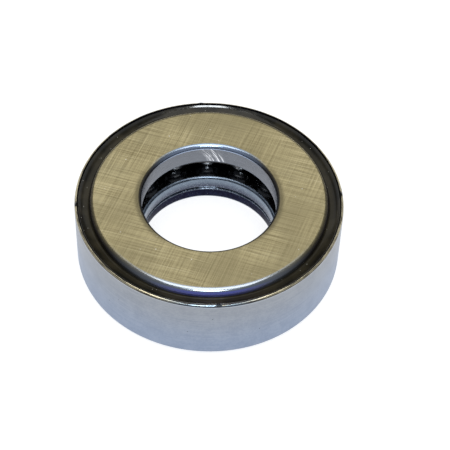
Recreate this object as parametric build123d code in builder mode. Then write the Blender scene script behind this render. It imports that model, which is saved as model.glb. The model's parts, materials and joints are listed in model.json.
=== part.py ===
from build123d import *
import math
import os

# Thrust ball bearing for an assumed 26 mm king pin, held together by a drawn steel shell.
#
# Frame: +Z is the bearing axis and points up out of the ground face of the upper washer.
# The origin is on the axis, in the flat underside. All sizes are in millimetres.
#
# The lower washer sits fixed in the shell. The upper washer turns under the rolled edge of the
# shell, on 16 balls that the cage keeps apart.

# ---- driving dimensions ----------------------------------------------------------------------

OUTER_DIAMETER = 52.0
BORE_DIAMETER = 26.2
TOTAL_HEIGHT = 15.4

BALL_DIAMETER = 6.35
BALL_COUNT = 16
PITCH_RADIUS = 18.25

# The faces of the two washers, on either side of the balls.
LOWER_FACE_Z = 6.0
UPPER_FACE_Z = 10.8

# The groove's radius across the track is 53% of the ball's diameter.
RACEWAY_RADIUS = 0.53 * BALL_DIAMETER
RACEWAY_PLAY = 0.02

# ---- shell: sheet thickness, and its outside sizes -------------------------------------------

SHEET = 0.40
SHELL_HEIGHT = 14.75
SHELL_BEND_RADIUS = 0.85
ROLLED_EDGE_RADIUS = 25.47
COLLAR_RADIUS = 13.20
COLLAR_HEIGHT = 2.55
COLLAR_BEND_RADIUS = 0.45
COLLAR_ROUND = 0.18
STAKE_COUNT = 4
STAKE_START_ANGLE = 3
STAKE_RADIUS = 0.28
STAKE_PITCH_RADIUS = 25.58
STAKE_Z = 14.71

# ---- lower washer ----------------------------------------------------------------------------

LOWER_WASHER_PLAY = 0.03
LOWER_WASHER_FOOT_ROUND = 0.6
COUNTERBORE_PLAY = 0.05
COUNTERBORE_TOP_Z = 3.25
COUNTERBORE_EDGE_ROUND = 0.15
LOWER_BORE_ROUND = 0.6
WASHER_EDGE_ROUND = 0.3

# ---- upper washer ----------------------------------------------------------------------------

FLAT_FACE_RADIUS = 21.9
SHOULDER_ROUND = 1.35
BORE_ROUND = 0.9
CHANNEL_BOTTOM_RADIUS = 23.60
CHANNEL_BOTTOM_Z = 13.70
CHANNEL_ROOT_ROUND = 0.3
CHANNEL_RISE_RADIUS = 3.2
LIP_RADIUS = 25.30
LIP_TOP_Z = 14.50
LIP_ROUND = 0.1
FLANGE_PLAY = 0.05
FLANGE_STEP_Z = 14.15
LIP_FOOT_Z = 14.30

# ---- cage ------------------------------------------------------------------------------------

# The cage hangs on the balls, above their middle, so its pockets are narrower than a ball.
CAGE_INNER_RADIUS = 14.30
CAGE_OUTER_RADIUS = 22.20
CAGE_SHEET = 0.70
CAGE_RIM_HEIGHT = 1.50
CAGE_ABOVE_CENTRE = 0.50
CAGE_ROUND = 0.25
POCKET_RADIUS = 3.155

# ---- worked out from the above ---------------------------------------------------------------

outer_radius = OUTER_DIAMETER / 2
bore_radius = BORE_DIAMETER / 2
ball_radius = BALL_DIAMETER / 2
ball_centre_z = (LOWER_FACE_Z + UPPER_FACE_Z) / 2
ball_angle_step = 360 / BALL_COUNT

wall_radius = outer_radius - SHEET
collar_wall_radius = COLLAR_RADIUS + SHEET
underside_start = COLLAR_RADIUS + COLLAR_BEND_RADIUS
underside_end = outer_radius - SHELL_BEND_RADIUS
rolled_round = outer_radius - ROLLED_EDGE_RADIUS
rolled_start_z = SHELL_HEIGHT - rolled_round
inner_rolled_round = rolled_round - SHEET
inner_bend_radius = SHELL_BEND_RADIUS - SHEET
inner_collar_bend = COLLAR_BEND_RADIUS - SHEET

flange_radius = wall_radius - FLANGE_PLAY
counterbore_radius = collar_wall_radius + COUNTERBORE_PLAY
lower_washer_radius = wall_radius - LOWER_WASHER_PLAY

# Each raceway is an arc whose lowest or highest point clears the ball by the play.
race_offset = ball_radius + RACEWAY_PLAY - RACEWAY_RADIUS
race_half_width = math.sqrt(RACEWAY_RADIUS**2 - (ball_centre_z - race_offset - LOWER_FACE_Z) ** 2)
race_start = PITCH_RADIUS - race_half_width
race_end = PITCH_RADIUS + race_half_width
lower_race_z = ball_centre_z - ball_radius - RACEWAY_PLAY
upper_race_z = ball_centre_z + ball_radius + RACEWAY_PLAY

cage_bottom_z = ball_centre_z + CAGE_ABOVE_CENTRE
cage_web_top_z = cage_bottom_z + CAGE_SHEET
cage_top_z = cage_bottom_z + CAGE_RIM_HEIGHT


def corner(sketch, radius, z):
    """The vertex of a profile sketch that is nearest to this radius and height."""
    return sketch.vertices().sort_by_distance((radius, z))[0]


# ---- outer shell: one drawn channel of sheet, its top edge rolled in over the upper washer -------

with BuildPart() as outer_shell:
    with BuildSketch(Plane.XZ) as shell_profile:
        with BuildLine():
            # The outside of the sheet, from the collar in the bore round to the rolled edge.
            Line((COLLAR_RADIUS, COLLAR_HEIGHT), (COLLAR_RADIUS, COLLAR_BEND_RADIUS))
            CenterArc((underside_start, COLLAR_BEND_RADIUS), COLLAR_BEND_RADIUS, 180, 90)
            Line((underside_start, 0), (underside_end, 0))
            CenterArc((underside_end, SHELL_BEND_RADIUS), SHELL_BEND_RADIUS, 270, 90)
            Line((outer_radius, SHELL_BEND_RADIUS), (outer_radius, rolled_start_z))
            CenterArc((ROLLED_EDGE_RADIUS, rolled_start_z), rolled_round, 0, 90)
            # The cut edge of the sheet, then its inside, back to the collar.
            Line((ROLLED_EDGE_RADIUS, SHELL_HEIGHT), (ROLLED_EDGE_RADIUS, SHELL_HEIGHT - SHEET))
            CenterArc((ROLLED_EDGE_RADIUS, rolled_start_z), inner_rolled_round, 0, 90)
            Line((wall_radius, rolled_start_z), (wall_radius, SHELL_BEND_RADIUS))
            CenterArc((underside_end, SHELL_BEND_RADIUS), inner_bend_radius, 270, 90)
            Line((underside_end, SHEET), (underside_start, SHEET))
            CenterArc((underside_start, COLLAR_BEND_RADIUS), inner_collar_bend, 180, 90)
            Line((collar_wall_radius, COLLAR_BEND_RADIUS), (collar_wall_radius, COLLAR_HEIGHT))
            Line((collar_wall_radius, COLLAR_HEIGHT), (COLLAR_RADIUS, COLLAR_HEIGHT))
        make_face()
        fillet(corner(shell_profile, COLLAR_RADIUS, COLLAR_HEIGHT), radius=COLLAR_ROUND)
    revolve(axis=Axis.Z)
    # The edge is punched down at a few points, which raises a small nub at each.
    with PolarLocations(STAKE_PITCH_RADIUS, STAKE_COUNT, start_angle=STAKE_START_ANGLE):
        with Locations((0, 0, STAKE_Z)):
            Sphere(STAKE_RADIUS)
outer_shell.part.label = "outer_shell"

# ---- lower washer: rests in the shell, with a counterbore that clears the shell's collar ---------

with BuildPart() as lower_washer:
    with BuildSketch(Plane.XZ) as lower_profile:
        with BuildLine():
            Line((bore_radius, LOWER_FACE_Z), (bore_radius, COUNTERBORE_TOP_Z))
            Line((bore_radius, COUNTERBORE_TOP_Z), (counterbore_radius, COUNTERBORE_TOP_Z))
            Line((counterbore_radius, COUNTERBORE_TOP_Z), (counterbore_radius, SHEET))
            Line((counterbore_radius, SHEET), (lower_washer_radius, SHEET))
            Line((lower_washer_radius, SHEET), (lower_washer_radius, LOWER_FACE_Z))
            Line((lower_washer_radius, LOWER_FACE_Z), (race_end, LOWER_FACE_Z))
            ThreePointArc(
                (race_end, LOWER_FACE_Z), (PITCH_RADIUS, lower_race_z), (race_start, LOWER_FACE_Z)
            )
            Line((race_start, LOWER_FACE_Z), (bore_radius, LOWER_FACE_Z))
        make_face()
        # The foot of the counterbore and of the outer wall clear the shell's bends.
        fillet(corner(lower_profile, counterbore_radius, SHEET), radius=LOWER_WASHER_FOOT_ROUND)
        fillet(corner(lower_profile, lower_washer_radius, SHEET), radius=LOWER_WASHER_FOOT_ROUND)
        fillet(corner(lower_profile, lower_washer_radius, LOWER_FACE_Z), radius=WASHER_EDGE_ROUND)
        fillet(corner(lower_profile, bore_radius, LOWER_FACE_Z), radius=LOWER_BORE_ROUND)
        fillet(corner(lower_profile, bore_radius, COUNTERBORE_TOP_Z), radius=COUNTERBORE_EDGE_ROUND)
    revolve(axis=Axis.Z)
lower_washer.part.label = "lower_washer"

# ---- upper washer: ground face, rounded shoulder, and the channel that runs out to its lip -------

with BuildPart() as upper_washer:
    with BuildSketch(Plane.XZ) as upper_profile:
        with BuildLine():
            shoulder_radius = FLAT_FACE_RADIUS + SHOULDER_ROUND
            Line((bore_radius, UPPER_FACE_Z), (bore_radius, TOTAL_HEIGHT))
            Line((bore_radius, TOTAL_HEIGHT), (shoulder_radius, TOTAL_HEIGHT))
            Line((shoulder_radius, TOTAL_HEIGHT), (shoulder_radius, CHANNEL_BOTTOM_Z))
            Line((shoulder_radius, CHANNEL_BOTTOM_Z), (CHANNEL_BOTTOM_RADIUS, CHANNEL_BOTTOM_Z))
            RadiusArc(
                (CHANNEL_BOTTOM_RADIUS, CHANNEL_BOTTOM_Z), (LIP_RADIUS, LIP_TOP_Z), CHANNEL_RISE_RADIUS
            )
            Line((LIP_RADIUS, LIP_TOP_Z), (LIP_RADIUS, LIP_FOOT_Z))
            Line((LIP_RADIUS, LIP_FOOT_Z), (flange_radius, FLANGE_STEP_Z))
            Line((flange_radius, FLANGE_STEP_Z), (flange_radius, UPPER_FACE_Z))
            Line((flange_radius, UPPER_FACE_Z), (race_end, UPPER_FACE_Z))
            ThreePointArc(
                (race_end, UPPER_FACE_Z), (PITCH_RADIUS, upper_race_z), (race_start, UPPER_FACE_Z)
            )
            Line((race_start, UPPER_FACE_Z), (bore_radius, UPPER_FACE_Z))
        make_face()
        fillet(corner(upper_profile, bore_radius, TOTAL_HEIGHT), radius=BORE_ROUND)
        fillet(corner(upper_profile, shoulder_radius, TOTAL_HEIGHT), radius=SHOULDER_ROUND)
        fillet(corner(upper_profile, shoulder_radius, CHANNEL_BOTTOM_Z), radius=CHANNEL_ROOT_ROUND)
        fillet(corner(upper_profile, LIP_RADIUS, LIP_TOP_Z), radius=LIP_ROUND)
        fillet(corner(upper_profile, flange_radius, UPPER_FACE_Z), radius=WASHER_EDGE_ROUND)
        fillet(corner(upper_profile, bore_radius, UPPER_FACE_Z), radius=WASHER_EDGE_ROUND)
    revolve(axis=Axis.Z)
upper_washer.part.label = "upper_washer"

# ---- cage: a pressed ring with upturned rims and one round pocket for each ball -------------------

with BuildPart() as cage:
    with BuildSketch(Plane.XZ) as cage_profile:
        with BuildLine():
            inner_rim_end = CAGE_INNER_RADIUS + CAGE_SHEET
            outer_rim_start = CAGE_OUTER_RADIUS - CAGE_SHEET
            Polyline(
                (CAGE_INNER_RADIUS, cage_bottom_z),
                (CAGE_OUTER_RADIUS, cage_bottom_z),
                (CAGE_OUTER_RADIUS, cage_top_z),
                (outer_rim_start, cage_top_z),
                (outer_rim_start, cage_web_top_z),
                (inner_rim_end, cage_web_top_z),
                (inner_rim_end, cage_top_z),
                (CAGE_INNER_RADIUS, cage_top_z),
                close=True,
            )
        make_face()
        fillet(corner(cage_profile, CAGE_INNER_RADIUS, cage_bottom_z), radius=CAGE_ROUND)
        fillet(corner(cage_profile, CAGE_OUTER_RADIUS, cage_bottom_z), radius=CAGE_ROUND)
    revolve(axis=Axis.Z)
    with BuildSketch(Plane.XY.offset(cage_bottom_z)):
        with PolarLocations(PITCH_RADIUS, BALL_COUNT):
            Circle(POCKET_RADIUS)
    extrude(amount=CAGE_SHEET, mode=Mode.SUBTRACT)
cage.part.label = "cage"

# ---- balls: ball_01 is on the +X axis, and the rest follow anticlockwise --------------------------

os.makedirs("parts", exist_ok=True)
for ring in (outer_shell, lower_washer, upper_washer, cage):
    export_step(ring.part, f"parts/{ring.part.label}.step")

for index in range(BALL_COUNT):
    with BuildPart() as ball:
        with PolarLocations(PITCH_RADIUS, 1, start_angle=index * ball_angle_step):
            with Locations((0, 0, ball_centre_z)):
                Sphere(ball_radius)
    ball.part.label = f"ball_{index + 1:02d}"
    export_step(ball.part, f"parts/{ball.part.label}.step")
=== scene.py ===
import json
import math
import random

import bmesh
import bpy
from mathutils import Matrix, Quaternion, Vector


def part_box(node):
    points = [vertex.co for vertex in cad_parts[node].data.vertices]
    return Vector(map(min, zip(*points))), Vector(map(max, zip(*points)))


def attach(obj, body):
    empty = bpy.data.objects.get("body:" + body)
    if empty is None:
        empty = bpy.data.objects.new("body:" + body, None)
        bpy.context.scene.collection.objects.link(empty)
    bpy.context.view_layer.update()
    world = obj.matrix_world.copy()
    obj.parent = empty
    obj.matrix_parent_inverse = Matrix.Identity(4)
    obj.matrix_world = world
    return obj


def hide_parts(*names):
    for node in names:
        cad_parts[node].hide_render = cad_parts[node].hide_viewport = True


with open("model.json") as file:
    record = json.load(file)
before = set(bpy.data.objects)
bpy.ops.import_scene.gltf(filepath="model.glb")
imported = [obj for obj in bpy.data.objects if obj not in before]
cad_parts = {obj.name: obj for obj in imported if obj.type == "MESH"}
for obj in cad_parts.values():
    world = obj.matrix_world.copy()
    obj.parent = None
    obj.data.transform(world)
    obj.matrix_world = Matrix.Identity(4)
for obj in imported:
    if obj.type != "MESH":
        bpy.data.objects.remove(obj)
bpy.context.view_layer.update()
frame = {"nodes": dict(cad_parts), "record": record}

# Looks for a thrust ball bearing. Lengths are in millimetres in the outlines below, and become
# metres when a mesh is made. Outlines are (radius, height) points in the frame's own axes.

MM = 0.001

# ---- sizes read from the frame ----------------------------------------------------------------


def box_mm(node):
    """Lowest and highest corner of a CAD node, in millimetres."""
    low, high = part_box(node)
    return Vector(low) / MM, Vector(high) / MM


def mount_radius(name):
    """Stated radius of a round mount, in millimetres."""
    for mount in frame["record"]["mounts"]:
        if mount["name"] == name:
            return mount["dims"]["r_mm"]
    raise ValueError("no mount named " + name)


shell_high = box_mm("outer_shell")[1]
lower_low, lower_high = box_mm("lower_washer")
upper_low, upper_high = box_mm("upper_washer")
cage_low, cage_high = box_mm("cage")
ball_names = sorted(name for name in frame["nodes"] if name.startswith("ball_"))
ball_low, ball_high = box_mm(ball_names[0])

OUTER_RADIUS = shell_high.x
BORE_RADIUS = mount_radius("shaft_bore")
TOP_Z = upper_high.z
LOWER_FACE_Z = lower_high.z
UPPER_FACE_Z = upper_low.z
BALL_RADIUS = (ball_high.z - ball_low.z) / 2
BALL_CENTRE_Z = (ball_high.z + ball_low.z) / 2
PITCH_RADIUS = (ball_high.x + ball_low.x) / 2
BALL_STEP = 2 * math.pi / len(ball_names)

# ---- sizes of the drawn sheet shell -----------------------------------------------------------

SHEET = lower_low.z
SHELL_BEND = 0.85
COLLAR_BEND = 0.45
SHELL_EDGE_RADIUS = 25.47
SHELL_CREST_Z = 14.75
CUT_EDGE_ROUND = 0.08
COLLAR_RADIUS = 13.20
COLLAR_HEIGHT = 2.55
STAKE_ANGLES = [math.radians(3 + 90 * index) for index in range(4)]
STAKE_HALF_WIDTH = 0.34
STAKE_CLEARANCE = 0.02
STAKE_RISE = shell_high.z - SHELL_CREST_Z - STAKE_CLEARANCE
STAKE_PUSH = 0.05
STAKE_STEPS = 8
STAKE_STEP_WIDTH = 0.12
RIPPLE_HEIGHT = 0.014
RIPPLE_WAVES = (37, 61, 89, 143, 211)
COLLAR_TIP_FLAT = 0.02

# ---- sizes of the washers ---------------------------------------------------------------------

FLAT_RADIUS = 21.9
SHOULDER_ROUND = 1.35
BORE_ROUND = 0.9
LOWER_BORE_ROUND = 0.6
CHANNEL_BOTTOM_RADIUS = 23.60
CHANNEL_BOTTOM_Z = 13.70
CHANNEL_RISE_RADIUS = 3.2
CHANNEL_ROOT_ROUND = 0.3
LIP_RADIUS = 25.30
LIP_TOP_Z = 14.50
LIP_ROUND = 0.1
LIP_FOOT_Z = 14.30
FLANGE_STEP_Z = 14.15
COUNTERBORE_RADIUS = 13.65
COUNTERBORE_TOP_Z = 3.25
EDGE_ROUND = 0.3
FOOT_ROUND = 0.6
RACEWAY_RADIUS = 0.53 * 2 * BALL_RADIUS
RACEWAY_PLAY = 0.02

# ---- sizes of the cage ------------------------------------------------------------------------

CAGE_INNER_RADIUS = 14.30
CAGE_OUTER_RADIUS = cage_high.x
CAGE_SHEET = 0.70
CAGE_BEND = 0.35
CAGE_EDGE_BEVEL = 0.08
POCKET_RADIUS = 3.155
POCKET_SIDE_STEPS = 12

TURN_STEPS = 240

# ---- node helpers -----------------------------------------------------------------------------


class Nodes:
    """One material's node tree, with a short call for each kind of node used here."""

    def __init__(self, name):
        self.material = bpy.data.materials.new(name)
        self.material.use_nodes = True
        self.tree = self.material.node_tree
        self.tree.nodes.clear()

    def add(self, kind, inputs, output=0, **settings):
        """Adds a node, links or sets its inputs, and gives back one of its outputs."""
        node = self.tree.nodes.new("ShaderNode" + kind)
        for key, value in settings.items():
            setattr(node, key, value)
        for key, value in inputs.items():
            if isinstance(value, bpy.types.NodeSocket):
                self.tree.links.new(value, node.inputs[key])
            else:
                node.inputs[key].default_value = value
        return node.outputs[output] if len(node.outputs) else None

    def position(self):
        """Object coordinates in millimetres, which ride with the piece."""
        place = self.add("TexCoord", {}, output="Object")
        return self.add("VectorMath", {0: place, "Scale": 1 / MM}, operation="SCALE")

    def math(self, operation, first, second=0.0):
        return self.add("Math", {0: first, 1: second}, operation=operation)

    def split(self, vector):
        """The X, Y and Z of a vector."""
        x = self.add("SeparateXYZ", {0: vector}, output="X")
        node = x.node
        return x, node.outputs["Y"], node.outputs["Z"]

    def join(self, x, y, z):
        return self.add("CombineXYZ", {"X": x, "Y": y, "Z": z})

    def round_place(self, vector):
        """(angle in radians, height, radius) of a point, with the last two in millimetres."""
        x, y, height = self.split(vector)
        squares = self.math("ADD", self.math("MULTIPLY", x, x), self.math("MULTIPLY", y, y))
        radius = self.math("SQRT", squares)
        angle = self.math("ARCTAN2", y, x)
        return angle, height, radius

    def noise(self, vector, scale=1.0, detail=3.0, roughness=0.55):
        inputs = {"Vector": vector, "Scale": scale, "Detail": detail, "Roughness": roughness}
        return self.add("TexNoise", inputs, output="Fac")

    def lines(self, vector, angle, along, across, detail=2.0, shift=0.0):
        """Noise drawn out into straight lines at an angle in degrees, seen from above."""
        turned = self.add(
            "Mapping",
            {
                "Vector": vector,
                "Rotation": (0.0, 0.0, math.radians(-angle)),
                "Location": (shift, shift, 0.0),
                "Scale": (1.0, 1.0, 1.0),
            },
        )
        x, y, _ = self.split(turned)
        stretched = self.join(
            self.math("MULTIPLY", x, along), self.math("MULTIPLY", y, across), shift
        )
        return self.noise(stretched, 1.0, detail, 0.6)

    def smooth(self, value, low, high, to_low=0.0, to_high=1.0):
        """Eases from to_low to to_high as value goes from low to high."""
        inputs = {"Value": value, "From Min": low, "From Max": high, "To Min": to_low, "To Max": to_high}
        return self.add("MapRange", inputs, interpolation_type="SMOOTHSTEP")

    def mix(self, factor, first, second):
        """Mixes two colours, each a socket or an (r, g, b)."""
        colours = {}
        for key, colour in ((6, first), (7, second)):
            colours[key] = colour if isinstance(colour, bpy.types.NodeSocket) else (*colour, 1.0)
        return self.add("Mix", {0: factor, **colours}, output=2, data_type="RGBA")

    def specks(self, vector, scale, size, seed=0.0):
        """1 in small scattered dots and 0 elsewhere. Size is a share of the dots' spacing."""
        shifted = self.add("VectorMath", {0: vector, 1: (seed, seed, seed)}, operation="ADD")
        distance = self.add("TexVoronoi", {"Vector": shifted, "Scale": scale}, output="Distance")
        return self.smooth(distance, size * 0.55, size, 1.0, 0.0)

    def bump(self, height, depth_mm, normal=None):
        inputs = {"Height": height, "Strength": 1.0, "Distance": depth_mm * MM}
        if normal:
            inputs["Normal"] = normal
        return self.add("Bump", inputs)

    def finish(self, **inputs):
        """Ends the tree with a Principled shader and gives back the material."""
        shader = self.add("BsdfPrincipled", {key.replace("_", " "): value for key, value in inputs.items()})
        self.add("OutputMaterial", {"Surface": shader})
        return self.material


# ---- finishes ---------------------------------------------------------------------------------

# Angles about +Z of the side towards the viewer and the side away from the viewer.
FRONT = -math.pi / 2
BACK = math.pi / 2


def ground_face():
    """Flat face, surface-ground in two directions and left oily, with fine straight lines; its tan is a
    painted reflection of warm surroundings.
    """
    nodes = Nodes("ground_face")
    place = nodes.position()
    fine_a = nodes.lines(place, -18.5, 0.09, 12.0, 2.0, 3.1)
    broad_a = nodes.lines(place, -18.5, 0.04, 3.2, 1.0, 8.3)
    fine_b = nodes.lines(place, 68.0, 0.09, 11.0, 2.0, 15.7)
    broad_b = nodes.lines(place, 68.0, 0.05, 2.8, 1.0, 21.9)
    patches = nodes.smooth(nodes.noise(place, 0.09, 2.0), 0.38, 0.62)
    along_a = nodes.math("ADD", nodes.math("MULTIPLY", fine_a, 0.7), nodes.math("MULTIPLY", broad_a, 0.3))
    along_b = nodes.math("ADD", nodes.math("MULTIPLY", fine_b, 0.7), nodes.math("MULTIPLY", broad_b, 0.3))
    share_b = nodes.math("ADD", nodes.math("MULTIPLY", patches, 0.35), 0.25)
    grain = nodes.add("Mix", {0: share_b, 2: along_a, 3: along_b}, data_type="FLOAT")
    tone = nodes.smooth(grain, 0.38, 0.62)
    # The tan is a painted reflection of warm surroundings in the ground steel.
    colour = nodes.mix(tone, (0.225, 0.186, 0.092), (0.545, 0.468, 0.262))
    cuts = nodes.smooth(nodes.lines(place, -17.0, 0.05, 7.0, 1.0, 33.0), 0.64, 0.70, 0.0, 0.45)
    colour = nodes.mix(cuts, colour, (0.74, 0.66, 0.43))
    oil = nodes.smooth(nodes.noise(place, 0.12, 3.0), 0.35, 0.7)
    colour = nodes.mix(nodes.math("MULTIPLY", oil, 0.22), colour, (0.30, 0.27, 0.16))
    dots = nodes.specks(place, 0.42, 0.05)
    colour = nodes.mix(dots, colour, (0.95, 0.93, 0.85))
    swell = nodes.smooth(nodes.noise(place, 0.055, 2.0), 0.36, 0.64, 0.0, 0.50)
    colour = nodes.mix(swell, colour, (0.25, 0.21, 0.11))
    angle, _, radius = nodes.round_place(place)
    # The face's tan runs a little way over both rounded edges; on the outer one it then gives way to dark
    # steel, a painted dark reflection.
    # Painted dark reflection on the outer rounded edge.
    painted_dark_fade = nodes.smooth(radius, FLAT_RADIUS + 0.45, FLAT_RADIUS + 1.10)
    colour = nodes.mix(painted_dark_fade, colour, (0.045, 0.038, 0.034))
    # On the outer rounded edge at the front, a painted pale highlight.
    off_front = nodes.math("ABSOLUTE", nodes.math("SUBTRACT", angle, FRONT))
    front = nodes.smooth(off_front, math.radians(16), math.radians(62), 1.0, 0.0)
    pale = nodes.math("MULTIPLY", front, nodes.smooth(radius, FLAT_RADIUS + 0.02, FLAT_RADIUS + 0.25))
    colour = nodes.mix(pale, colour, (0.27, 0.31, 0.36))
    # Lower on the outer rounded edge near the front, a painted violet-blue reflection.
    painted_violet_band = nodes.smooth(radius, FLAT_RADIUS + 0.90, FLAT_RADIUS + 1.10)
    middle = nodes.smooth(off_front, math.radians(6), math.radians(34), 1.0, 0.0)
    colour = nodes.mix(nodes.math("MULTIPLY", middle, painted_violet_band), colour, (0.24, 0.28, 1.0))
    off_back = nodes.math("ABSOLUTE", nodes.math("SUBTRACT", angle, BACK))
    back = nodes.smooth(off_back, math.radians(22), math.radians(62), 1.0, 0.0)
    # Away from the back, painted shade browns the tan before it reaches the bore's rounded edge.
    painted_side_shade = nodes.math("SUBTRACT", nodes.smooth(off_back, math.radians(40), math.radians(80)),
                       nodes.smooth(off_front, math.radians(25), math.radians(60), 1.0, 0.0))
    near_bore = nodes.smooth(radius, BORE_RADIUS + 0.80, BORE_RADIUS + 1.70, 0.75, 0.0)
    painted_bore_shade = nodes.math("MULTIPLY", painted_side_shade, near_bore)
    colour = nodes.mix(painted_bore_shade, colour, (0.13, 0.11, 0.06))
    # At the back, the bore's edge gets a painted glint.
    bore_edge = nodes.smooth(radius, BORE_RADIUS + 0.75, BORE_RADIUS + 0.92, 1.0, 0.0)
    painted_glint = nodes.math("MULTIPLY", back, bore_edge)
    colour = nodes.mix(painted_glint, colour, (0.20, 0.26, 0.34))
    # The bore's rounded edge takes a painted bluish reflection at the back and painted dark shade elsewhere.
    painted_bore_reflection = nodes.mix(back, (0.075, 0.070, 0.066), (0.42, 0.54, 0.76))
    inner = nodes.smooth(radius, BORE_RADIUS + 0.20, BORE_RADIUS + 0.70, 1.0, 0.0)
    colour = nodes.mix(inner, colour, painted_bore_reflection)
    roughness = nodes.smooth(grain, 0.3, 0.7, 0.46, 0.34)
    outside = nodes.smooth(radius, FLAT_RADIUS, FLAT_RADIUS + 0.35)
    inside = nodes.smooth(radius, BORE_RADIUS + 0.40, BORE_RADIUS + BORE_ROUND, 1.0, 0.0)
    slick = nodes.math("MAXIMUM", outside, inside)
    oil_film = nodes.math("ADD", nodes.math("MULTIPLY", outside, front), nodes.math("MULTIPLY", inside, back))
    roughness = nodes.add("Mix", {0: slick, 2: roughness, 3: 0.20}, data_type="FLOAT")
    relief = nodes.math("MULTIPLY", grain, nodes.math("SUBTRACT", 1.0, slick))
    return nodes.finish(
        Base_Color=colour, Metallic=0.88, Roughness=roughness, Normal=nodes.bump(relief, 0.014),
        Coat_Weight=oil_film, Coat_Roughness=0.10, Coat_IOR=1.75
    )


def edge_steel():
    """Rounded edges of the washers: smooth, hardened steel with faint turning marks."""
    nodes = Nodes("edge_steel")
    place = nodes.position()
    angle, height, radius = nodes.round_place(place)
    marks = nodes.noise(nodes.join(nodes.math("MULTIPLY", radius, 9.0), nodes.math("MULTIPLY", height, 9.0),
                                   nodes.math("MULTIPLY", angle, 2.0)), 1.0, 3.0)
    grit = nodes.noise(place, 3.2, 4.0, 0.7)
    colour = nodes.mix(marks, (0.13, 0.16, 0.21), (0.21, 0.25, 0.32))
    roughness = nodes.smooth(grit, 0.3, 0.75, 0.14, 0.28)
    return nodes.finish(Base_Color=colour, Metallic=1.0, Roughness=roughness, Normal=nodes.bump(grit, 0.01))


def channel_steel():
    """Unground channel: near-black oxide under oil, with dust caught in it."""
    nodes = Nodes("channel_steel")
    place = nodes.position()
    angle, height, radius = nodes.round_place(place)
    cloud = nodes.smooth(nodes.noise(place, 0.22, 4.0), 0.35, 0.7)
    colour = nodes.mix(cloud, (0.012, 0.011, 0.008), (0.034, 0.029, 0.018))
    warm = nodes.smooth(radius, CHANNEL_BOTTOM_RADIUS + 0.35, CHANNEL_BOTTOM_RADIUS + 0.90, 0.28, 0.0)
    colour = nodes.mix(warm, colour, (0.056, 0.046, 0.024))
    dust = nodes.specks(place, 0.75, 0.060, 4.0)
    colour = nodes.mix(dust, colour, (0.55, 0.53, 0.46))
    rings = nodes.noise(nodes.join(nodes.math("MULTIPLY", radius, 5.0), 0.0,
                                   nodes.math("MULTIPLY", angle, 1.2)), 1.0, 2.0)
    roughness = nodes.smooth(nodes.noise(place, 1.3, 4.0), 0.3, 0.75, 0.08, 0.20)
    gloss = nodes.smooth(height, LIP_TOP_Z - 0.42, LIP_TOP_Z - 0.16, 1.24, 1.85)
    return nodes.finish(Base_Color=colour, Metallic=0.0, Roughness=roughness, IOR=gloss,
                        Normal=nodes.bump(nodes.math("ADD", rings, dust), 0.010))


def wall_steel(name, dark, light, scuffed):
    """Ground bore wall: fine hoop lines, and on the upper washer one slanting patch of scuffs."""
    nodes = Nodes(name)
    place = nodes.position()
    angle, height, _ = nodes.round_place(place)
    hoop = nodes.math("MULTIPLY", angle, BORE_RADIUS)
    grain_place = nodes.join(nodes.math("MULTIPLY", hoop, 0.25), nodes.math("MULTIPLY", height, 7.0), 0.0)
    grain = nodes.noise(grain_place, 1.0, 3.0)
    blotch = nodes.noise(place, 0.9, 4.0)
    tone = nodes.math("ADD", nodes.math("MULTIPLY", grain, 0.5), nodes.math("MULTIPLY", blotch, 0.5))
    colour = nodes.mix(nodes.smooth(tone, 0.25, 0.75), dark, light)
    relief = nodes.math("MULTIPLY", grain, 0.4)
    if scuffed:
        middle = math.radians(90) * BORE_RADIUS
        middle_z = (TOP_Z + UPPER_FACE_Z) / 2
        across = nodes.math("SUBTRACT", hoop, middle - 0.8)
        up = nodes.math("SUBTRACT", height, middle_z)
        bow = nodes.math("MULTIPLY", nodes.math("MULTIPLY", up, up), 0.10)
        slant = nodes.math("SUBTRACT", across, nodes.math("ADD", nodes.math("MULTIPLY", up, 0.70), bow))
        away = nodes.math("ABSOLUTE", slant)
        patch = nodes.smooth(away, 0.9, 2.2, 1.0, 0.0)
        strokes = nodes.noise(nodes.join(nodes.math("MULTIPLY", slant, 3.2),
                                         nodes.math("MULTIPLY", up, 0.35), 4.0), 1.0, 2.0)
        scuff = nodes.math("MULTIPLY", patch, nodes.smooth(strokes, 0.46, 0.60))
        colour = nodes.mix(scuff, colour, (0.88, 0.90, 0.94))
        relief = nodes.math("ADD", relief, nodes.math("MULTIPLY", scuff, 2.0))
    else:
        # Lower down in the bore, the wall is painted darker and bluer: painted shade.
        painted_depth_shade = nodes.smooth(height, COUNTERBORE_TOP_Z, LOWER_FACE_Z - LOWER_BORE_ROUND, 1.0, 0.0)
        colour = nodes.mix(painted_depth_shade, colour, (0.055, 0.060, 0.095))
        grit = nodes.smooth(nodes.noise(place, 4.0, 2.0, 0.7), 0.52, 0.62, 0.0, 0.45)
        colour = nodes.mix(grit, colour, (0.33, 0.385, 0.44))
    specks = nodes.specks(place, 1.1, 0.07, 9.0)
    colour = nodes.mix(nodes.math("MULTIPLY", specks, 0.6), colour, (0.8, 0.82, 0.86))
    roughness = nodes.smooth(blotch, 0.3, 0.7, 0.24, 0.38)
    return nodes.finish(Base_Color=colour, Metallic=1.0, Roughness=roughness,
                        Normal=nodes.bump(relief, 0.012))


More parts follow.
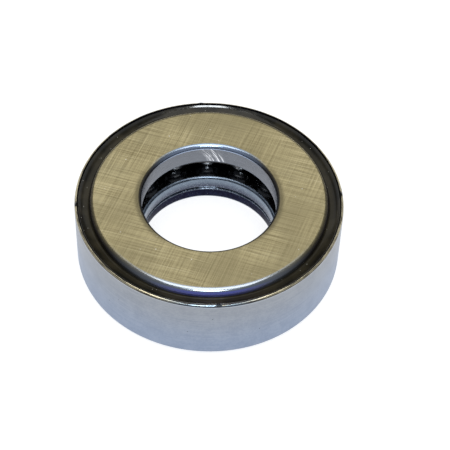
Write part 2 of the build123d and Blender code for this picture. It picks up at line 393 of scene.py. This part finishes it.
def polished_race():
    """Raceways and inside faces: lapped bright under clear oil."""
    nodes = Nodes("race_steel")
    place = nodes.position()
    angle, height, radius = nodes.round_place(place)
    track = nodes.noise(nodes.join(nodes.math("MULTIPLY", radius, 6.0), nodes.math("MULTIPLY", height, 6.0),
                                   nodes.math("MULTIPLY", angle, 1.5)), 1.0, 3.0)
    off_track = nodes.math("ABSOLUTE", nodes.math("SUBTRACT", radius, PITCH_RADIUS))
    worn = nodes.smooth(off_track, 0.2, 1.2, 1.0, 0.0)
    colour = nodes.mix(track, (0.26, 0.27, 0.28), (0.40, 0.41, 0.43))
    colour = nodes.mix(nodes.math("MULTIPLY", worn, 0.5), colour, (0.55, 0.56, 0.58))
    roughness = nodes.smooth(track, 0.3, 0.7, 0.08, 0.20)
    return nodes.finish(Base_Color=colour, Metallic=1.0, Roughness=roughness, Normal=nodes.bump(track, 0.004))


def band_steel():
    """Outside of the shell: satin grey-blue, with faint hoop lines from the draw and a few pits; bluer
    towards the bottom and lighter at the foot, a painted reflection of the floor.
    """
    nodes = Nodes("band_steel")
    place = nodes.position()
    angle, height, _ = nodes.round_place(place)
    hoop = nodes.math("MULTIPLY", angle, OUTER_RADIUS)
    draw_place = nodes.join(nodes.math("MULTIPLY", hoop, 0.06), nodes.math("MULTIPLY", height, 5.0), 0.0)
    draw = nodes.noise(draw_place, 1.0, 3.0)
    satin = nodes.noise(place, 1.7, 4.0, 0.85)
    cloud = nodes.noise(place, 0.35, 3.0)
    broad = nodes.math("ADD", nodes.math("MULTIPLY", draw, 0.25), nodes.math("MULTIPLY", cloud, 0.25))
    tone = nodes.math("ADD", broad, nodes.math("MULTIPLY", satin, 0.5))
    # Towards the bottom the satin is painted bluer, a painted reflection of the floor.
    low = nodes.smooth(height, 1.0, SHELL_CREST_Z, 1.0, 0.0)
    dull = nodes.mix(low, (0.272, 0.292, 0.325), (0.245, 0.300, 0.405))
    clear = nodes.mix(low, (0.340, 0.360, 0.390), (0.315, 0.370, 0.475))
    colour = nodes.mix(nodes.smooth(tone, 0.40, 0.60), dull, clear)
    pits = nodes.specks(place, 0.33, 0.040, 2.0)
    colour = nodes.mix(pits, colour, (0.05, 0.05, 0.06))
    # At the foot the band is painted lighter, a painted reflection of the floor.
    foot = nodes.smooth(height, 0.2, 1.1, 1.0, 0.0)
    colour = nodes.mix(nodes.math("MULTIPLY", foot, 0.3), colour, (0.30, 0.34, 0.42))
    roughness = nodes.smooth(satin, 0.3, 0.75, 0.36, 0.50)
    relief = nodes.math("SUBTRACT", nodes.math("ADD", nodes.math("MULTIPLY", draw, 0.5), satin), pits)
    return nodes.finish(Base_Color=colour, Metallic=0.95, Roughness=roughness,
                        Normal=nodes.bump(relief, 0.006))


def rolled_edge():
    """Rolled and staked edge of the shell: burnished, with painted near-black shade over its top and inside,
    in a fold line and at the stakes, and a painted highlight on its crest.
    """
    nodes = Nodes("rolled_edge")
    place = nodes.position()
    angle, height, radius = nodes.round_place(place)
    smear = nodes.noise(nodes.join(nodes.math("MULTIPLY", angle, 9.0), nodes.math("MULTIPLY", height, 5.0),
                                   nodes.math("MULTIPLY", radius, 5.0)), 1.0, 2.0)
    # The crest's bright colour is a painted highlight, bluish at the front and golden towards the sides.
    off_front = nodes.math("ABSOLUTE", nodes.math("SUBTRACT", angle, FRONT))
    side = nodes.smooth(off_front, math.radians(8), math.radians(28))
    bright = nodes.mix(side, (0.30, 0.38, 0.45), (0.88, 0.78, 0.52))
    burnish_and_painted_highlight = nodes.mix(nodes.smooth(smear, 0.30, 0.55), (0.16, 0.14, 0.10), bright)
    # Over the top and inside of the roll the colour is painted near-black, a painted dark reflection; further
    # out the burnish shows.
    past_edge = nodes.math("SUBTRACT", radius, SHELL_EDGE_RADIUS)
    reach = nodes.math("ADD", past_edge, nodes.math("MULTIPLY", side, 0.10))
    crest = nodes.smooth(reach, 0.17, 0.25)
    colour = nodes.mix(crest, (0.010, 0.010, 0.014), burnish_and_painted_highlight)
    # A thin painted dark blue line of shade runs round the roll below the crest.
    painted_fold_line = nodes.math("ABSOLUTE", nodes.math("SUBTRACT", height, SHELL_CREST_Z - 0.30))
    colour = nodes.mix(nodes.smooth(painted_fold_line, 0.03, 0.09, 1.0, 0.0), colour, (0.020, 0.024, 0.050))
    lower = nodes.smooth(height, SHELL_CREST_Z - 0.40, SHELL_CREST_Z - 0.36, 1.0, 0.0)
    colour = nodes.mix(lower, colour, (0.40, 0.43, 0.47))
    # Each stake is painted dark: painted shade, stronger away from the front.
    stakes = 0.0
    for stake in STAKE_ANGLES:
        centre = (math.cos(stake) * SHELL_EDGE_RADIUS, math.sin(stake) * SHELL_EDGE_RADIUS, SHELL_CREST_Z)
        away = nodes.add("VectorMath", {0: place, 1: centre}, output="Value", operation="DISTANCE")
        stakes = nodes.math("MAXIMUM", nodes.smooth(away, 0.45, 0.8, 1.0, 0.0), stakes)
    painted_stake_shade = nodes.math("ADD", nodes.math("MULTIPLY", side, 0.65), 0.30)
    colour = nodes.mix(nodes.math("MULTIPLY", stakes, painted_stake_shade), colour, (0.015, 0.015, 0.015))
    roughness = nodes.smooth(smear, 0.3, 0.7, 0.12, 0.28)
    return nodes.finish(Base_Color=colour, Metallic=0.9, Roughness=roughness, Normal=nodes.bump(smear, 0.005))


def collar_steel():
    """Shell's collar in the bore: glossy sheet, painted near-black blue, partly an oil film and partly
    painted shade deep in the bore.
    """
    nodes = Nodes("collar_steel")
    place = nodes.position()
    cloud = nodes.smooth(nodes.noise(place, 1.4, 4.0), 0.35, 0.7)
    # Near-black blue: oil film and painted shade deep in the bore.
    colour = nodes.mix(cloud, (0.006, 0.006, 0.026), (0.015, 0.019, 0.055))
    drops = nodes.specks(place, 1.6, 0.10, 5.0)
    colour = nodes.mix(drops, colour, (0.30, 0.36, 0.45))
    roughness = nodes.smooth(cloud, 0.0, 1.0, 0.08, 0.18)
    return nodes.finish(Base_Color=colour, Metallic=0.0, Roughness=roughness, IOR=1.12,
                        Normal=nodes.bump(drops, 0.01))


def cut_edge():
    """Sheared and broken edge of the sheet: bright and finely lined."""
    nodes = Nodes("cut_edge")
    place = nodes.position()
    angle, height, radius = nodes.round_place(place)
    shear = nodes.noise(nodes.join(nodes.math("MULTIPLY", angle, 60.0), height, radius), 1.0, 3.0)
    colour = nodes.mix(nodes.smooth(shear, 0.3, 0.7), (0.09, 0.11, 0.15), (0.30, 0.35, 0.42))
    roughness = nodes.smooth(shear, 0.3, 0.7, 0.05, 0.11)
    return nodes.finish(Base_Color=colour, Metallic=1.0, Roughness=roughness, Normal=nodes.bump(shear, 0.004))


def dark_sheet(name, light, shine):
    """Oiled dark sheet steel, for the shell's inside, where the dark is painted shade, and the cage."""
    nodes = Nodes(name)
    place = nodes.position()
    cloud = nodes.noise(place, 0.8, 4.0)
    colour = nodes.mix(nodes.smooth(cloud, 0.35, 0.7), (0.012, 0.012, 0.014), light)
    dust = nodes.specks(place, 1.2, 0.07, 6.0)
    colour = nodes.mix(nodes.math("MULTIPLY", dust, 0.7), colour, (0.5, 0.5, 0.48))
    roughness = nodes.smooth(nodes.noise(place, 2.5, 3.0), 0.3, 0.7, shine, shine + 0.18)
    return nodes.finish(Base_Color=colour, Metallic=0.3, Roughness=roughness, IOR=1.6,
                        Normal=nodes.bump(nodes.math("ADD", cloud, dust), 0.012))


def underside_steel():
    """Flat underside of the shell: satin steel, scuffed in rings where it bears on its seat."""
    nodes = Nodes("underside_steel")
    place = nodes.position()
    angle, _, radius = nodes.round_place(place)
    ring_place = nodes.join(nodes.math("MULTIPLY", radius, 4.0), 0.0, nodes.math("MULTIPLY", angle, 3.0))
    rings = nodes.noise(ring_place, 1.0, 4.0)
    grit = nodes.noise(place, 2.4, 4.0, 0.7)
    colour = nodes.mix(nodes.smooth(rings, 0.35, 0.65), (0.26, 0.29, 0.33), (0.46, 0.49, 0.54))
    roughness = nodes.smooth(grit, 0.3, 0.75, 0.30, 0.52)
    return nodes.finish(Base_Color=colour, Metallic=0.95, Roughness=roughness,
                        Normal=nodes.bump(rings, 0.012))


def ball_steel():
    """Chrome steel balls, with an oil film that breaks up the shine a little."""
    nodes = Nodes("ball_steel")
    place = nodes.position()
    film = nodes.noise(place, 1.6, 3.0)
    # The chrome is given a dark base, painted shade for the dim gap between the washers.
    colour = nodes.mix(nodes.smooth(film, 0.35, 0.7), (0.18, 0.19, 0.20), (0.30, 0.30, 0.30))
    roughness = nodes.smooth(film, 0.35, 0.75, 0.04, 0.14)
    return nodes.finish(Base_Color=colour, Metallic=1.0, Roughness=roughness, Normal=nodes.bump(film, 0.004))


def floor_paper():
    """Plain pale studio paper."""
    nodes = Nodes("floor_paper")
    place = nodes.position()
    fibre = nodes.noise(place, 0.8, 3.0)
    colour = nodes.mix(fibre, (0.42, 0.42, 0.43), (0.46, 0.46, 0.46))
    glow = nodes.mix(fibre, (0.97, 0.98, 1.00), (1.00, 1.00, 1.00))
    return nodes.finish(Base_Color=colour, Roughness=0.9, Emission_Color=glow, Emission_Strength=0.75,
                        Normal=nodes.bump(fibre, 0.02))


MATERIALS = {
    "ground_face": ground_face(),
    "edge_steel": edge_steel(),
    "channel_steel": channel_steel(),
    "bore_steel": wall_steel(
        "bore_steel", (0.150, 0.160, 0.180), (0.245, 0.260, 0.290), scuffed=True
    ),
    "lower_bore_steel": wall_steel(
        "lower_bore_steel", (0.135, 0.170, 0.225), (0.235, 0.290, 0.355), scuffed=False
    ),
    "race_steel": polished_race(),
    "band_steel": band_steel(),
    "rolled_edge": rolled_edge(),
    "collar_steel": collar_steel(),
    "cut_edge": cut_edge(),
    # The shell's inside is painted near-black: painted shade.
    "inside_steel": dark_sheet("inside_steel", (0.05, 0.05, 0.05), 0.30),
    "cage_steel": dark_sheet("cage_steel", (0.07, 0.065, 0.06), 0.22),
    "underside_steel": underside_steel(),
    "ball_steel": ball_steel(),
    "floor_paper": floor_paper(),
}

# ---- outlines ---------------------------------------------------------------------------------


def arc(centre, radius, start, end, steps=8):
    """Points of an arc between two angles in degrees, where 0 is outward and 90 is up."""
    points = []
    for index in range(steps + 1):
        angle = math.radians(start + (end - start) * index / steps)
        points.append((centre[0] + radius * math.cos(angle), centre[1] + radius * math.sin(angle)))
    return points


def arc_between(start, end, radius, steps):
    """Points of the arc from start to end that bulges to the right of that direction."""
    chord = Vector(end) - Vector(start)
    half = chord.length / 2
    left = Vector((-chord.y, chord.x)).normalized()
    centre = (Vector(start) + Vector(end)) / 2 + left * math.sqrt(radius**2 - half**2)
    first = Vector(start) - centre
    last = Vector(end) - centre
    start_angle = math.degrees(math.atan2(first.y, first.x))
    turn = math.degrees(math.atan2(first.x * last.y - first.y * last.x, first.dot(last)))
    return arc(centre, radius, start_angle, start_angle + turn, steps)


class Outline:
    """A closed outline, clockwise, that remembers the finish of the edge leading to each point."""

    def __init__(self):
        self.points = []
        self.finishes = []

    def run(self, finish, *points):
        """Carries the outline on through these points with one finish."""
        for point in points:
            self.points.append(tuple(point))
            self.finishes.append(finish)


def raceway(centre_z, face_z, above):
    """The groove's arc in a washer's face: above the balls it is run inwards, below them outwards."""
    half_width = math.sqrt(RACEWAY_RADIUS**2 - (face_z - centre_z) ** 2)
    rise = math.degrees(math.asin(abs(face_z - centre_z) / RACEWAY_RADIUS))
    if above:
        return half_width, arc((PITCH_RADIUS, centre_z), RACEWAY_RADIUS, rise, 180 - rise, 24)
    return half_width, arc((PITCH_RADIUS, centre_z), RACEWAY_RADIUS, 180 + rise, 360 - rise, 24)


def upper_washer_outline():
    shoulder = FLAT_RADIUS + SHOULDER_ROUND
    lip_start = (CHANNEL_BOTTOM_RADIUS, CHANNEL_BOTTOM_Z)
    centre_z = BALL_CENTRE_Z + BALL_RADIUS + RACEWAY_PLAY - RACEWAY_RADIUS
    half_width, groove = raceway(centre_z, UPPER_FACE_Z, above=True)
    outline = Outline()
    outline.run("bore_steel", (BORE_RADIUS, UPPER_FACE_Z + EDGE_ROUND), (BORE_RADIUS, TOP_Z - BORE_ROUND))
    outline.run("ground_face", *arc((BORE_RADIUS + BORE_ROUND, TOP_Z - BORE_ROUND), BORE_ROUND, 180, 90, 16))
    outline.run("ground_face", (FLAT_RADIUS, TOP_Z))
    outline.run("ground_face", *arc((FLAT_RADIUS, TOP_Z - SHOULDER_ROUND), SHOULDER_ROUND, 90, 0, 20))
    outline.run("ground_face", (shoulder, CHANNEL_BOTTOM_Z + CHANNEL_ROOT_ROUND))
    root = (shoulder + CHANNEL_ROOT_ROUND, CHANNEL_BOTTOM_Z + CHANNEL_ROOT_ROUND)
    outline.run("channel_steel", *arc(root, CHANNEL_ROOT_ROUND, 180, 270, 10))
    outline.run("channel_steel", *arc_between(lip_start, (LIP_RADIUS - LIP_ROUND, LIP_TOP_Z),
                                              CHANNEL_RISE_RADIUS, 16))
    lip = (LIP_RADIUS - LIP_ROUND, LIP_TOP_Z - LIP_ROUND)
    outline.run("channel_steel", *arc(lip, LIP_ROUND, 80, 0, 5), (LIP_RADIUS, LIP_FOOT_Z))
    outline.run("channel_steel", (upper_high.x, FLANGE_STEP_Z), (upper_high.x, UPPER_FACE_Z + EDGE_ROUND))
    foot = (upper_high.x - EDGE_ROUND, UPPER_FACE_Z + EDGE_ROUND)
    outline.run("race_steel", *arc(foot, EDGE_ROUND, 0, -90, 5))
    outline.run("race_steel", (PITCH_RADIUS + half_width, UPPER_FACE_Z), *groove)
    mouth = (BORE_RADIUS + EDGE_ROUND, UPPER_FACE_Z + EDGE_ROUND)
    outline.run("edge_steel", *arc(mouth, EDGE_ROUND, 270, 180, 6))
    return outline


def lower_washer_outline():
    centre_z = BALL_CENTRE_Z - BALL_RADIUS - RACEWAY_PLAY + RACEWAY_RADIUS
    half_width, groove = raceway(centre_z, LOWER_FACE_Z, above=False)
    wall = lower_high.x
    outline = Outline()
    outline.run("race_steel", (COUNTERBORE_RADIUS + FOOT_ROUND, SHEET))
    foot = (COUNTERBORE_RADIUS + FOOT_ROUND, SHEET + FOOT_ROUND)
    outline.run("race_steel", *arc(foot, FOOT_ROUND, 270, 180, 5), (COUNTERBORE_RADIUS, COUNTERBORE_TOP_Z))
    mouth = (BORE_RADIUS + EDGE_ROUND / 2, COUNTERBORE_TOP_Z + EDGE_ROUND / 2)
    outline.run("edge_steel", *arc(mouth, EDGE_ROUND / 2, 270, 180, 5))
    outline.run("lower_bore_steel", (BORE_RADIUS, LOWER_FACE_Z - LOWER_BORE_ROUND))
    crown = (BORE_RADIUS + LOWER_BORE_ROUND, LOWER_FACE_Z - LOWER_BORE_ROUND)
    outline.run("lower_bore_steel", *arc(crown, LOWER_BORE_ROUND, 180, 90, 10))
    outline.run("race_steel", (PITCH_RADIUS - half_width, LOWER_FACE_Z), *groove)
    rim = (wall - EDGE_ROUND, LOWER_FACE_Z - EDGE_ROUND)
    outline.run("race_steel", *arc(rim, EDGE_ROUND, 90, 0, 5), (wall, SHEET + FOOT_ROUND))
    outline.run("race_steel", *arc((wall - FOOT_ROUND, SHEET + FOOT_ROUND), FOOT_ROUND, 0, -90, 5))
    return outline


def shell_outline():
    """The drawn sheet: its inside first, from the collar out and up, then its outside back down."""
    edge_round = OUTER_RADIUS - SHELL_EDGE_RADIUS
    edge_centre = (SHELL_EDGE_RADIUS, SHELL_CREST_Z - edge_round)
    inner_bend = SHELL_BEND - SHEET
    collar_centre = (COLLAR_RADIUS + COLLAR_BEND, COLLAR_BEND)
    wall_centre = (OUTER_RADIUS - SHELL_BEND, SHELL_BEND)
    half_sheet = SHEET / 2 - COLLAR_TIP_FLAT
    outline = Outline()
    outline.run("collar_steel", (COLLAR_RADIUS, COLLAR_BEND), (COLLAR_RADIUS, COLLAR_HEIGHT - half_sheet))
    tip = (COLLAR_RADIUS + half_sheet, COLLAR_HEIGHT - half_sheet)
    outline.run("cut_edge", *arc(tip, half_sheet, 180, 90, 6), (COLLAR_RADIUS + SHEET, COLLAR_HEIGHT))
    # Inner faces of the shell carry the painted shade finish.
    outline.run("inside_steel", *arc(collar_centre, COLLAR_BEND - SHEET, 180, 270, 3))
    outline.run("inside_steel", *arc(wall_centre, inner_bend, 270, 360, 5))
    outline.run("inside_steel", *arc(edge_centre, edge_round - SHEET, 0, 90, 6))
    tip = (SHELL_EDGE_RADIUS + CUT_EDGE_ROUND, SHELL_CREST_Z - CUT_EDGE_ROUND)
    outline.run("rolled_edge", (SHELL_EDGE_RADIUS, tip[1]))
    outline.run("rolled_edge", *arc(tip, CUT_EDGE_ROUND, 180, 90, 4))
    outline.run("rolled_edge", *arc(edge_centre, edge_round, 78, 0, 14))
    outline.run("band_steel", *arc(wall_centre, SHELL_BEND, 0, -90, 10))
    outline.run("underside_steel", *arc(collar_centre, COLLAR_BEND, 270, 180, 8))
    return outline


# ---- meshes -----------------------------------------------------------------------------------


def even_angles(steps):
    return [2 * math.pi * index / steps for index in range(steps)]


def angles_with_stakes():
    """Even steps round the shell, with finer ones where the edge is staked."""
    angles = set(even_angles(TURN_STEPS * 2))
    for stake in STAKE_ANGLES:
        for index in range(-STAKE_STEPS, STAKE_STEPS + 1):
            angles.add(stake + index * STAKE_STEP_WIDTH / OUTER_RADIUS)
    return sorted(angles)


def link(mesh, name, finishes):
    """Puts a mesh in the scene as an object with these finishes as its material slots."""
    piece = bpy.data.objects.new(name, mesh)
    bpy.context.scene.collection.objects.link(piece)
    for finish in finishes:
        mesh.materials.append(MATERIALS[finish])
    return piece


def lathe(name, outline, angles, shape=None):
    """Turns an outline round +Z. shape(radius, height, angle) may move each point."""
    count = len(outline.points)
    finishes = sorted(set(outline.finishes))
    vertices = []
    for angle in angles:
        for radius, height in outline.points:
            if shape:
                radius, height = shape(radius, height, angle)
            vertices.append((radius * math.cos(angle) * MM, radius * math.sin(angle) * MM, height * MM))
    faces = []
    slots = []
    for turn in range(len(angles)):
        here = turn * count
        there = (turn + 1) % len(angles) * count
        for index in range(count):
            after = (index + 1) % count
            faces.append((here + index, here + after, there + after, there + index))
            slots.append(finishes.index(outline.finishes[after]))
    mesh = bpy.data.meshes.new(name)
    mesh.from_pydata(vertices, [], faces)
    mesh.polygons.foreach_set("material_index", slots)
    mesh.polygons.foreach_set("use_smooth", [True] * len(faces))
    piece = link(mesh, name, finishes)
    tidy_mesh(mesh)
    piece.modifiers.new("even_normals", "WEIGHTED_NORMAL").keep_sharp = True
    return piece


def tidy_mesh(mesh):
    """Joins points that coincide, drops faces left with no area, and keeps real corners sharp."""
    work = bmesh.new()
    work.from_mesh(mesh)
    bmesh.ops.remove_doubles(work, verts=work.verts, dist=0.0005 * MM)
    bmesh.ops.dissolve_degenerate(work, edges=work.edges, dist=0.0001 * MM)
    work.to_mesh(mesh)
    work.free()
    mesh.set_sharp_from_angle(angle=math.radians(40))


# ---- stakes and ripple in the shell's rolled edge ------------------------------------------------

random.seed(7)
RIPPLES = []
for wave in RIPPLE_WAVES:
    RIPPLES.append((wave, random.uniform(0, 2 * math.pi), random.uniform(0.4, 1.0)))


def ripple(angle):
    """A small uneven wave, between about -1 and 1, that closes on itself after a full turn."""
    return sum(size * math.sin(wave * angle + phase) for wave, phase, size in RIPPLES) / len(RIPPLES)


def stake_weight(angle):
    """1 in the middle of a stake, and 0 away from it."""
    weight = 0.0
    for stake in STAKE_ANGLES:
        away = math.remainder(angle - stake, 2 * math.pi) * OUTER_RADIUS
        weight = max(weight, math.exp(-((away / STAKE_HALF_WIDTH) ** 2)))
    return weight


def rolled_edge_shape(radius, height, angle):
    """Ripples the crest of the rolled edge, and raises and pushes in a nub at each stake."""
    foot = SHELL_CREST_Z - (OUTER_RADIUS - SHELL_EDGE_RADIUS) / 2
    if height < foot:
        return radius, height
    crest = (height - foot) / (SHELL_CREST_Z - foot)
    weight = stake_weight(angle) * crest
    radius += RIPPLE_HEIGHT * ripple(angle) * crest - STAKE_PUSH * weight
    height += RIPPLE_HEIGHT * ripple(angle + 2.0) * crest * 0.6 + STAKE_RISE * weight
    return radius, height


# ---- cage -------------------------------------------------------------------------------------


def cage_rim(sign):
    """(radius, height) points from the web, round the bend and up a rim: sign is -1 inside, 1 outside."""
    web_z = cage_low.z + CAGE_SHEET / 2
    half = CAGE_SHEET / 2
    rim = CAGE_OUTER_RADIUS - half if sign > 0 else CAGE_INNER_RADIUS + half
    bend = arc((rim - sign * CAGE_BEND, web_z + CAGE_BEND), CAGE_BEND, 270, 270 + sign * 90, 4)
    return bend + [(rim, cage_high.z)]


def pocket_border(middle):
    """Points round one ball's share of the web as (radius, angle), anticlockwise from its inner left."""
    inner = cage_rim(-1)[0][0]
    outer = cage_rim(1)[0][0]
    low = middle - BALL_STEP / 2
    high = middle + BALL_STEP / 2
    corners = [(inner, low), (outer, low), (outer, high), (inner, high)]
    border = []
    for start, end in zip(corners, corners[1:] + corners[:1]):
        for index in range(POCKET_SIDE_STEPS):
            share = index / POCKET_SIDE_STEPS
            border.append((start[0] + (end[0] - start[0]) * share, start[1] + (end[1] - start[1]) * share))
    return border


def make_cage():
    """Pressed cage: a sheet with a round pocket for each ball and its two edges turned up."""
    mesh = bpy.data.meshes.new("pressed_cage")
    work = bmesh.new()

    def point(radius, angle, height):
        return work.verts.new((radius * math.cos(angle) * MM, radius * math.sin(angle) * MM, height * MM))

    web_z = cage_low.z + CAGE_SHEET / 2
    for ball in range(len(ball_names)):
        middle = ball * BALL_STEP
        centre = Vector((math.cos(middle), math.sin(middle))) * PITCH_RADIUS
        border = pocket_border(middle)
        outside = [point(radius, angle, web_z) for radius, angle in border]
        inside = []
        for radius, angle in border:
            away = Vector((math.cos(angle), math.sin(angle))) * radius - centre
            spot = centre + away.normalized() * POCKET_RADIUS
            inside.append(work.verts.new((spot.x * MM, spot.y * MM, web_z * MM)))
        for index in range(len(border)):
            after = (index + 1) % len(border)
            work.faces.new((outside[index], outside[after], inside[after], inside[index]))
        for step in range(POCKET_SIDE_STEPS):
            start = middle - BALL_STEP / 2 + BALL_STEP * step / POCKET_SIDE_STEPS
            end = start + BALL_STEP / POCKET_SIDE_STEPS
            for sign in (-1, 1):
                path = cage_rim(sign)
                for low, high in zip(path, path[1:]):
                    strip = [point(low[0], start, low[1]), point(low[0], end, low[1]),
                             point(high[0], end, high[1]), point(high[0], start, high[1])]
                    work.faces.new(strip if sign < 0 else strip[::-1])
    bmesh.ops.remove_doubles(work, verts=work.verts, dist=0.001 * MM)
    bmesh.ops.recalc_face_normals(work, faces=work.faces)
    for face in work.faces:
        face.smooth = True
    work.to_mesh(mesh)
    work.free()
    piece = link(mesh, "pressed_cage", ["cage_steel"])
    sheet = piece.modifiers.new("sheet", "SOLIDIFY")
    sheet.thickness = CAGE_SHEET * MM
    sheet.offset = 0.0
    bevel = piece.modifiers.new("broken_edges", "BEVEL")
    bevel.width = CAGE_EDGE_BEVEL * MM
    bevel.segments = 2
    bevel.angle_limit = math.radians(50)
    bevel.harden_normals = False
    piece.modifiers.new("even_normals", "WEIGHTED_NORMAL")
    return piece


def make_ball(name, angle):
    """One ball, round its own centre on the pitch circle."""
    mesh = bpy.data.meshes.new(name)
    work = bmesh.new()
    bmesh.ops.create_icosphere(work, subdivisions=5, radius=BALL_RADIUS * MM)
    place = Vector((PITCH_RADIUS * math.cos(angle), PITCH_RADIUS * math.sin(angle), BALL_CENTRE_Z)) * MM
    bmesh.ops.translate(work, verts=work.verts, vec=place)
    for face in work.faces:
        face.smooth = True
    work.to_mesh(mesh)
    work.free()
    return link(mesh, name, ["ball_steel"])


# ---- the bearing ------------------------------------------------------------------------------


def place_piece(piece, node):
    """Shows a piece in place of a CAD node, on that node's body."""
    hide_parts(node)
    for body, members in frame["record"]["behaviour"]["bodies"].items():
        if node in members:
            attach(piece, body)


shell = lathe("drawn_shell", shell_outline(), angles_with_stakes(), rolled_edge_shape)
place_piece(shell, "outer_shell")
lower = lathe("fixed_washer", lower_washer_outline(), even_angles(TURN_STEPS))
place_piece(lower, "lower_washer")
upper = lathe("turning_washer", upper_washer_outline(), even_angles(TURN_STEPS))
place_piece(upper, "upper_washer")
place_piece(make_cage(), "cage")
for index, ball_name in enumerate(ball_names):
    ball = make_ball("polished_" + ball_name, index * BALL_STEP)
    place_piece(ball, ball_name)

# ---- floor, lights and camera -------------------------------------------------------------------

FLOOR_HALF = 2.0
FLOOR_Z = 0.01 * MM
VIEW_ELEVATION = 51.07
VIEW_AZIMUTH = -2.0
VIEW_ROLL = 1.53
VIEW_DISTANCE = 12 * OUTER_RADIUS * MM
VIEW_LENS = 124.62
VIEW_SHIFT = (0.0379, 0.0481)


def direction(azimuth, elevation):
    """Unit vector towards a place round the object: azimuth 0 is the viewer's side, -Y."""
    turn, rise = math.radians(azimuth), math.radians(elevation)
    return Vector((math.sin(turn) * math.cos(rise), -math.cos(turn) * math.cos(rise), math.sin(rise)))


def make_floor():
    """A floor a hair above the flat underside, so the two never lie in the same plane."""
    mesh = bpy.data.meshes.new("floor")
    corners = [(-FLOOR_HALF, -FLOOR_HALF, FLOOR_Z), (FLOOR_HALF, -FLOOR_HALF, FLOOR_Z),
               (FLOOR_HALF, FLOOR_HALF, FLOOR_Z), (-FLOOR_HALF, FLOOR_HALF, FLOOR_Z)]
    mesh.from_pydata(corners, [], [(0, 1, 2, 3)])
    link(mesh, "floor", ["floor_paper"])


def softbox(name, azimuth, elevation, distance, width, height, radiance, colour=(1.0, 1.0, 1.0)):
    """A soft rectangular light aimed at the bearing, with its brightness as seen from there."""
    light = bpy.data.lights.new(name, "AREA")
    light.shape = "RECTANGLE"
    light.size = width
    light.size_y = height
    light.energy = radiance * math.pi * width * height
    light.color = colour
    lamp = bpy.data.objects.new(name, light)
    bpy.context.scene.collection.objects.link(lamp)
    away = direction(azimuth, elevation)
    lamp.location = away * distance
    lamp.rotation_mode = "QUATERNION"
    lamp.rotation_quaternion = away.to_track_quat("Z", "Y")


def make_world():
    """Pale to the camera, and dimmer to everything else, so polished steel has darks to reflect."""
    world = bpy.data.worlds.new("studio")
    bpy.context.scene.world = world
    world.use_nodes = True
    tree = world.node_tree
    tree.nodes.clear()
    seen = tree.nodes.new("ShaderNodeBackground")
    seen.inputs["Color"].default_value = (1.0, 1.0, 1.0, 1.0)
    room = tree.nodes.new("ShaderNodeBackground")
    room.inputs["Color"].default_value = (0.20, 0.21, 0.23, 1.0)
    path = tree.nodes.new("ShaderNodeLightPath")
    mix = tree.nodes.new("ShaderNodeMixShader")
    out = tree.nodes.new("ShaderNodeOutputWorld")
    tree.links.new(path.outputs["Is Camera Ray"], mix.inputs[0])
    tree.links.new(room.outputs[0], mix.inputs[1])
    tree.links.new(seen.outputs[0], mix.inputs[2])
    tree.links.new(mix.outputs[0], out.inputs[0])


def make_camera():
    data = bpy.data.cameras.new("camera")
    data.lens = VIEW_LENS
    data.shift_x, data.shift_y = VIEW_SHIFT
    data.clip_start = 0.01
    camera = bpy.data.objects.new("camera", data)
    bpy.context.scene.collection.objects.link(camera)
    away = direction(VIEW_AZIMUTH, VIEW_ELEVATION)
    camera.location = away * VIEW_DISTANCE
    camera.rotation_mode = "QUATERNION"
    aim = (-away).to_track_quat("-Z", "Y")
    roll = Quaternion((0, 0, 1), math.radians(VIEW_ROLL))
    camera.rotation_quaternion = aim @ roll
    bpy.context.scene.camera = camera


make_floor()
make_world()
softbox("camera_side", 0, 56, 0.55, 0.16, 0.12, 13.0, (0.90, 0.96, 1.0))
softbox("back_panel", 180, 50, 1.0, 1.3, 0.9, 0.85)
softbox("overhead", 0, 86, 1.1, 0.8, 0.6, 3.0)
make_camera()
bpy.context.scene.view_settings.view_transform = "Standard"
